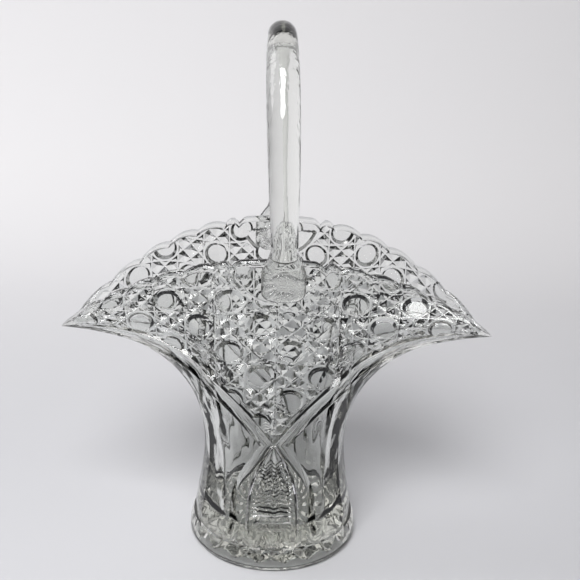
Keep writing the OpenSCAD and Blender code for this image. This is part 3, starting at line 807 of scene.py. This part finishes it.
class BASKET_OT_body(bpy.types.Operator):
    """Builds the pressed body: smooth walls, bands, flutes and foot, with the raised lattice fused on"""
    bl_idname = "basket.body"
    bl_label = "Pressed body"

    def execute(self, context):
        body, lattice, _, _, _ = settings()
        quarter = body_quarter(body, lattice)
        quarters = [(sx, sy) for sx in (1, -1) for sy in (1, -1)]
        obj = new_object("glass_basket", np.concatenate([mirrored(quarter, sx, sy) for sx, sy in quarters]))
        for name in ("points", "buttons"):
            raised = []
            for sx, sy in quarters:
                parts = lattice_parts(body, lattice, sy, 0 if sx == -sy else 1, name == "buttons")
                raised.append(mirrored(parts, sx, sy))
            part = new_object(name, np.concatenate(raised))
            combine(part, new_object("region", lattice_region(body, lattice)), "INTERSECT")
            if name == "points":
                combine(part, new_object("tab_region", tab_region(body, lattice)), "DIFFERENCE")
            combine(obj, part, "UNION")
        ribs = np.concatenate([arch_ribs(body, lattice), arch_line(body, lattice)])
        combine(obj, new_object("ribs", np.concatenate([ribs, mirrored(ribs, 1, -1)])), "UNION")
        plate = tab_plate(body, lattice)
        tabs = new_object("tabs", np.concatenate([plate, mirrored(plate, 1, -1)]))
        combine(tabs, new_object("region", lattice_region(body, lattice)), "INTERSECT")
        combine(obj, tabs, "UNION")
        return {"FINISHED"}


class BASKET_OT_handle(bpy.types.Operator):
    """Builds the hand-pulled handle and fuses it to the body"""
    bl_idname = "basket.handle"
    bl_label = "Handle"

    def execute(self, context):
        body, lattice, handle, _, _ = settings()
        obj = bpy.data.objects["glass_basket"]
        combine(obj, new_object("handle", handle_triangles(body, lattice, handle)), "UNION")
        obj.data.polygons.foreach_set("use_smooth", np.ones(len(obj.data.polygons), dtype=bool))
        obj.data.set_sharp_from_angle(angle=np.radians(SHARP_EDGE))
        obj.data.update()
        return {"FINISHED"}


class BASKET_OT_glass(bpy.types.Operator):
    """Gives the basket its glass and fits it to the frame"""
    bl_idname = "basket.glass"
    bl_label = "Glass"

    def execute(self, context):
        body, _, handle, glass, _ = settings()
        obj = bpy.data.objects["glass_basket"]
        obj.data.materials.clear()
        obj.data.materials.append(glass_material(glass, body, handle))
        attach(obj, "root")
        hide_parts("basket")
        return {"FINISHED"}


class Graph:
    """Short ways to add nodes to one material's tree. A number or a socket serves as an input."""

    def __init__(self, tree):
        self.nodes, self.links = tree.nodes, tree.links

    def put(self, socket, value):
        """Links a socket to another, or sets its value."""
        if isinstance(value, bpy.types.NodeSocket):
            self.links.new(value, socket)
        else:
            socket.default_value = value

    def math(self, operation, *values, clamp=False):
        """A Math node's result."""
        node = self.nodes.new("ShaderNodeMath")
        node.operation, node.use_clamp = operation, clamp
        for socket, value in zip(node.inputs, values):
            self.put(socket, value)
        return node.outputs[0]

    def product(self, first, *others):
        """The product of several values."""
        for other in others:
            first = self.math("MULTIPLY", first, other)
        return first

    def total(self, first, *others):
        """The sum of several values."""
        for other in others:
            first = self.math("ADD", first, other)
        return first

    def between(self, value, low, high):
        """0 up to low and 1 from high on (or the reverse where high is less), easing between them."""
        node = self.nodes.new("ShaderNodeMapRange")
        node.interpolation_type = "SMOOTHSTEP"
        self.put(node.inputs["Value"], value)
        self.put(node.inputs["From Min"], low)
        self.put(node.inputs["From Max"], high)
        return node.outputs["Result"]

    def texture(self, kind, vector, scale, detail=0.0):
        """The value of a Noise or Voronoi texture."""
        node = self.nodes.new(kind)
        self.put(node.inputs["Vector"], vector)
        node.inputs["Scale"].default_value = scale
        node.inputs["Detail"].default_value = detail
        return node.outputs[0]

    def parts(self, vector):
        """The x, y and z of a vector."""
        node = self.nodes.new("ShaderNodeSeparateXYZ")
        self.put(node.inputs[0], vector)
        return node.outputs

    def stretched(self, vector, scale):
        """A vector with each part multiplied."""
        node = self.nodes.new("ShaderNodeVectorMath")
        node.operation = "MULTIPLY"
        self.put(node.inputs[0], vector)
        node.inputs[1].default_value = scale
        return node.outputs[0]


def pad_mask(g, x, y, z, body, handle, side):
    """1 on the outer face of the front pad (side -1) or the back pad (side 1), easing to 0 round it."""
    middle = handle.rod_wander if side < 0 else -handle.pad_shift
    dx = g.math("SUBTRACT", x, middle)
    dz = g.math("SUBTRACT", z, body.rim_z - 0.6 * handle.pad_drop)
    far = g.math("SQRT", g.total(g.product(dx, dx), g.product(dz, dz)))
    wall = body.rim_depth / 2 - 7 * MM
    return g.product(g.between(far, 10 * MM, 8 * MM), g.between(g.product(y, side), wall, wall + 4 * MM))


def plain_mask(g, x, z, body):
    """1 in the plain glass below the lattice's lower edge, whose height is that of Lattice.band_top."""
    t = g.math("DIVIDE", g.math("ABSOLUTE", x), body.wing_span / 2, clamp=True)
    left = g.math("SUBTRACT", 1.0, t)
    climb = g.math("SUBTRACT", 1.0, g.math("POWER", left, BAND_POWER))
    edge = g.total(g.product(climb, body.wing_tip_z - body.crossing_z),
                   g.product(t, left, 4 * body.band_bow), body.crossing_z)
    return g.between(g.math("SUBTRACT", z, edge), 0.0, -3 * MM)


def glass_material(glass, body, handle):
    """Colourless pressed glass with a depth colour, whose relief is only in its shading.

    It has fire-polished waves all over, swirls in the plain parts, streaks up the handle and stippled pads.
    """
    material = bpy.data.materials.new("pressed_glass")
    material.use_nodes = True
    g = Graph(material.node_tree)
    shader = g.nodes["Principled BSDF"]
    shader.inputs["Base Color"].default_value = (*glass.tint, 1)
    shader.inputs["Roughness"].default_value = 0.0
    shader.inputs["IOR"].default_value = glass.refraction
    shader.inputs["Transmission Weight"].default_value = 1.0
    place = g.nodes.new("ShaderNodeTexCoord").outputs["Object"]
    x, y, z = g.parts(place)
    noise = "ShaderNodeTexNoise"
    waves = g.product(g.texture(noise, place, WAVE_SCALE, 2.0), glass.waviness)
    swirls = g.product(g.texture(noise, g.stretched(place, SWIRL_SCALE), 1.0, 1.0), glass.swirls,
                       plain_mask(g, x, z, body), g.between(z, body.foot_top_z, body.foot_top_z + 10 * MM))
    streaks = g.product(g.texture(noise, g.stretched(place, STREAK_SCALE), 1.0, 2.0), glass.streaks,
                        g.between(z, body.rim_z, body.rim_z + 15 * MM))
    points = g.product(g.texture("ShaderNodeTexVoronoi", place, STIPPLE_SCALE), glass.stipple)
    low = g.between(z, body.rim_z - handle.pad_drop + MM, body.rim_z - handle.pad_drop + 3 * MM)
    on_pads = g.total(pad_mask(g, x, y, z, body, handle, -1), pad_mask(g, x, y, z, body, handle, 1))
    points = g.product(points, on_pads, low)
    bump = g.nodes.new("ShaderNodeBump")
    bump.inputs["Distance"].default_value = 1.0
    g.put(bump.inputs["Height"], g.total(waves, swirls, streaks, points))
    g.put(shader.inputs["Normal"], bump.outputs["Normal"])
    absorb = g.nodes.new("ShaderNodeVolumeAbsorption")
    absorb.inputs["Color"].default_value = (*glass.depth_tint, 1)
    absorb.inputs["Density"].default_value = glass.depth_density
    g.put(g.nodes["Material Output"].inputs["Volume"], absorb.outputs["Volume"])
    return material


def add_area(name, place, target, size, power):
    """A square area light that faces a point and doesn't show through the glass."""
    light = bpy.data.lights.new(name, "AREA")
    light.shape, light.size, light.energy = "SQUARE", size, power
    obj = add_object(name, light)
    aim = (Vector(target) - Vector(place)).to_track_quat("-Z", "Y").to_matrix().to_4x4()
    obj.matrix_world = Matrix.Translation(place) @ aim
    obj.visible_transmission = False


def add_world(stage):
    """The studio's light: dim on matt surfaces, and a pale background for the camera and the glass."""
    world = bpy.data.worlds.new("soft_studio")
    world.use_nodes = True
    g = Graph(world.node_tree)
    path = g.nodes.new("ShaderNodeLightPath").outputs
    seen = g.math("MAXIMUM", path["Is Camera Ray"],
                  g.math("MAXIMUM", path["Is Glossy Ray"], path["Is Transmission Ray"]))
    background = g.nodes["Background"]
    background.inputs["Color"].default_value = (0.97, 0.97, 1.0, 1)
    more = g.product(seen, stage.world_seen - stage.world_light)
    g.put(background.inputs["Strength"], g.total(more, stage.world_light))
    bpy.context.scene.world = world


def add_card(name, corners, material):
    """A flat card of the stage outside the camera's view, which only the glass reflects and refracts."""
    mesh = bpy.data.meshes.new(name)
    mesh.from_pydata(corners, [], [(0, 1, 2, 3)])
    mesh.materials.append(material)
    obj = add_object(name, mesh)
    obj.visible_camera = obj.visible_diffuse = obj.visible_shadow = False


def flat_material(name, rgb):
    """A matt stage colour."""
    material = bpy.data.materials.new(name)
    material.use_nodes = True
    shader = material.node_tree.nodes["Principled BSDF"]
    shader.inputs["Base Color"].default_value = (*rgb, 1)
    shader.inputs["Roughness"].default_value = 0.9
    shader.inputs["Specular IOR Level"].default_value = 0.1
    return material


def paper_material(stage):
    """The paper of floor and backdrop, which grows paler from the floor up the backdrop."""
    material = flat_material("paper", stage.floor_colour)
    g = Graph(material.node_tree)
    _, y, z = g.parts(g.nodes.new("ShaderNodeTexCoord").outputs["Object"])
    blend = g.nodes.new("ShaderNodeMix")
    blend.data_type = "RGBA"
    g.put(blend.inputs["Factor"], g.between(g.math("ADD", y, z), 0.05, BACKDROP_Y))
    blend.inputs["A"].default_value = (*stage.floor_colour, 1)
    blend.inputs["B"].default_value = (*stage.wall_colour, 1)
    g.put(g.nodes["Principled BSDF"].inputs["Base Color"], blend.outputs["Result"])
    return material


class BASKET_OT_stage(bpy.types.Operator):
    """Adds the floor and backdrop, dark cards, soft lights and the camera"""
    bl_idname = "basket.stage"
    bl_label = "Stage"

    def execute(self, context):
        stage = settings()[4]
        context.scene.view_settings.view_transform = "Standard"
        a, r = np.linspace(0, np.pi / 2, 25), SWEEP_RADIUS
        y = np.concatenate([[FLOOR_FRONT], BACKDROP_Y - r + r * np.sin(a), [BACKDROP_Y]])
        z = np.concatenate([[0], r - r * np.cos(a), [BACKDROP_H]])
        x = np.linspace(-FLOOR_HALF, FLOOR_HALF, 3)[:, None]
        floor = new_object("floor", grid_triangles(stack(x, y, z)))
        floor.data.polygons.foreach_set("use_smooth", np.ones(len(floor.data.polygons), dtype=bool))
        floor.data.materials.append(paper_material(stage))
        dark = flat_material("dark_card", CARD_COLOUR)
        for name, corners in CARDS:
            add_card(name, [(x, y, MM) for x, y in corners], dark)
        add_area("top_light", (-0.2, -0.8, 1.15), (0, 0.1, 0.05), 0.7, stage.top_power)
        add_area("side_light", (-1.2, 0.3, 0.9), (0, 0.4, 0.3), 0.8, stage.side_power)
        add_world(stage)
        add_camera(stage)
        return {"FINISHED"}


def add_camera(stage):
    """The camera at the photograph's viewing angle, with its roll."""
    pitch, roll, yaw = np.radians(CAMERA_PITCH), np.radians(CAMERA_ROLL), np.radians(CAMERA_YAW)
    forward = np.array([np.sin(yaw), np.cos(yaw), 0])
    right = np.array([np.cos(yaw), -np.sin(yaw), 0])
    upward = np.sin(pitch) * forward + np.array([0, 0, np.cos(pitch)])
    view = np.cos(pitch) * forward - np.array([0, 0, np.sin(pitch)])
    side = np.cos(roll) * right + np.sin(roll) * upward
    head = np.cos(roll) * upward - np.sin(roll) * right
    place = CAMERA_RIGHT * MM * right + CAMERA_FORWARD * MM * forward + np.array([0, 0, CAMERA_UP * MM])
    data = bpy.data.cameras.new("camera")
    data.lens, data.sensor_width = stage.lens, 36
    data.clip_start, data.clip_end = 0.01, 20
    obj = add_object("camera", data)
    matrix = Matrix.Identity(4)
    for row in range(3):
        matrix[row][0], matrix[row][1] = side[row], head[row]
        matrix[row][2], matrix[row][3] = -view[row], place[row]
    obj.matrix_world = matrix
    bpy.context.scene.camera = obj


class BASKET_PT_panel(bpy.types.Panel):
    """Sidebar panel with the settings and one button for each operator"""
    bl_idname = "BASKET_PT_panel"
    bl_label = "Glass Basket"
    bl_space_type = "VIEW_3D"
    bl_region_type = "UI"
    bl_category = "Glass Basket"

    def draw(self, context):
        operators = ("basket.body", None, "basket.handle", "basket.glass", "basket.stage")
        for group, operator in zip(settings(), operators):
            box = self.layout.box()
            for name in group.bl_rna.properties.keys():
                if name not in ("rna_type", "name"):
                    box.prop(group, name)
            if operator:
                box.operator(operator)


GROUPS = (("basket_body", BasketBodySettings), ("basket_lattice", BasketLatticeSettings),
          ("basket_handle", BasketHandleSettings), ("basket_glass", BasketGlassSettings),
          ("basket_stage", BasketStageSettings))
CLASSES = (BASKET_OT_body, BASKET_OT_handle, BASKET_OT_glass, BASKET_OT_stage, BASKET_PT_panel)


def register():
    for _, group in GROUPS:
        bpy.utils.register_class(group)
    for name, group in GROUPS:
        setattr(bpy.types.Scene, name, bpy.props.PointerProperty(type=group))
    for cls in CLASSES:
        bpy.utils.register_class(cls)


def unregister():
    for cls in reversed(CLASSES):
        bpy.utils.unregister_class(cls)
    for name, group in reversed(GROUPS):
        delattr(bpy.types.Scene, name)
        bpy.utils.unregister_class(group)


def main():
    register()
    bpy.ops.basket.body()
    bpy.ops.basket.handle()
    bpy.ops.basket.glass()
    bpy.ops.basket.stage()


if __name__ == "__main__":
    main()
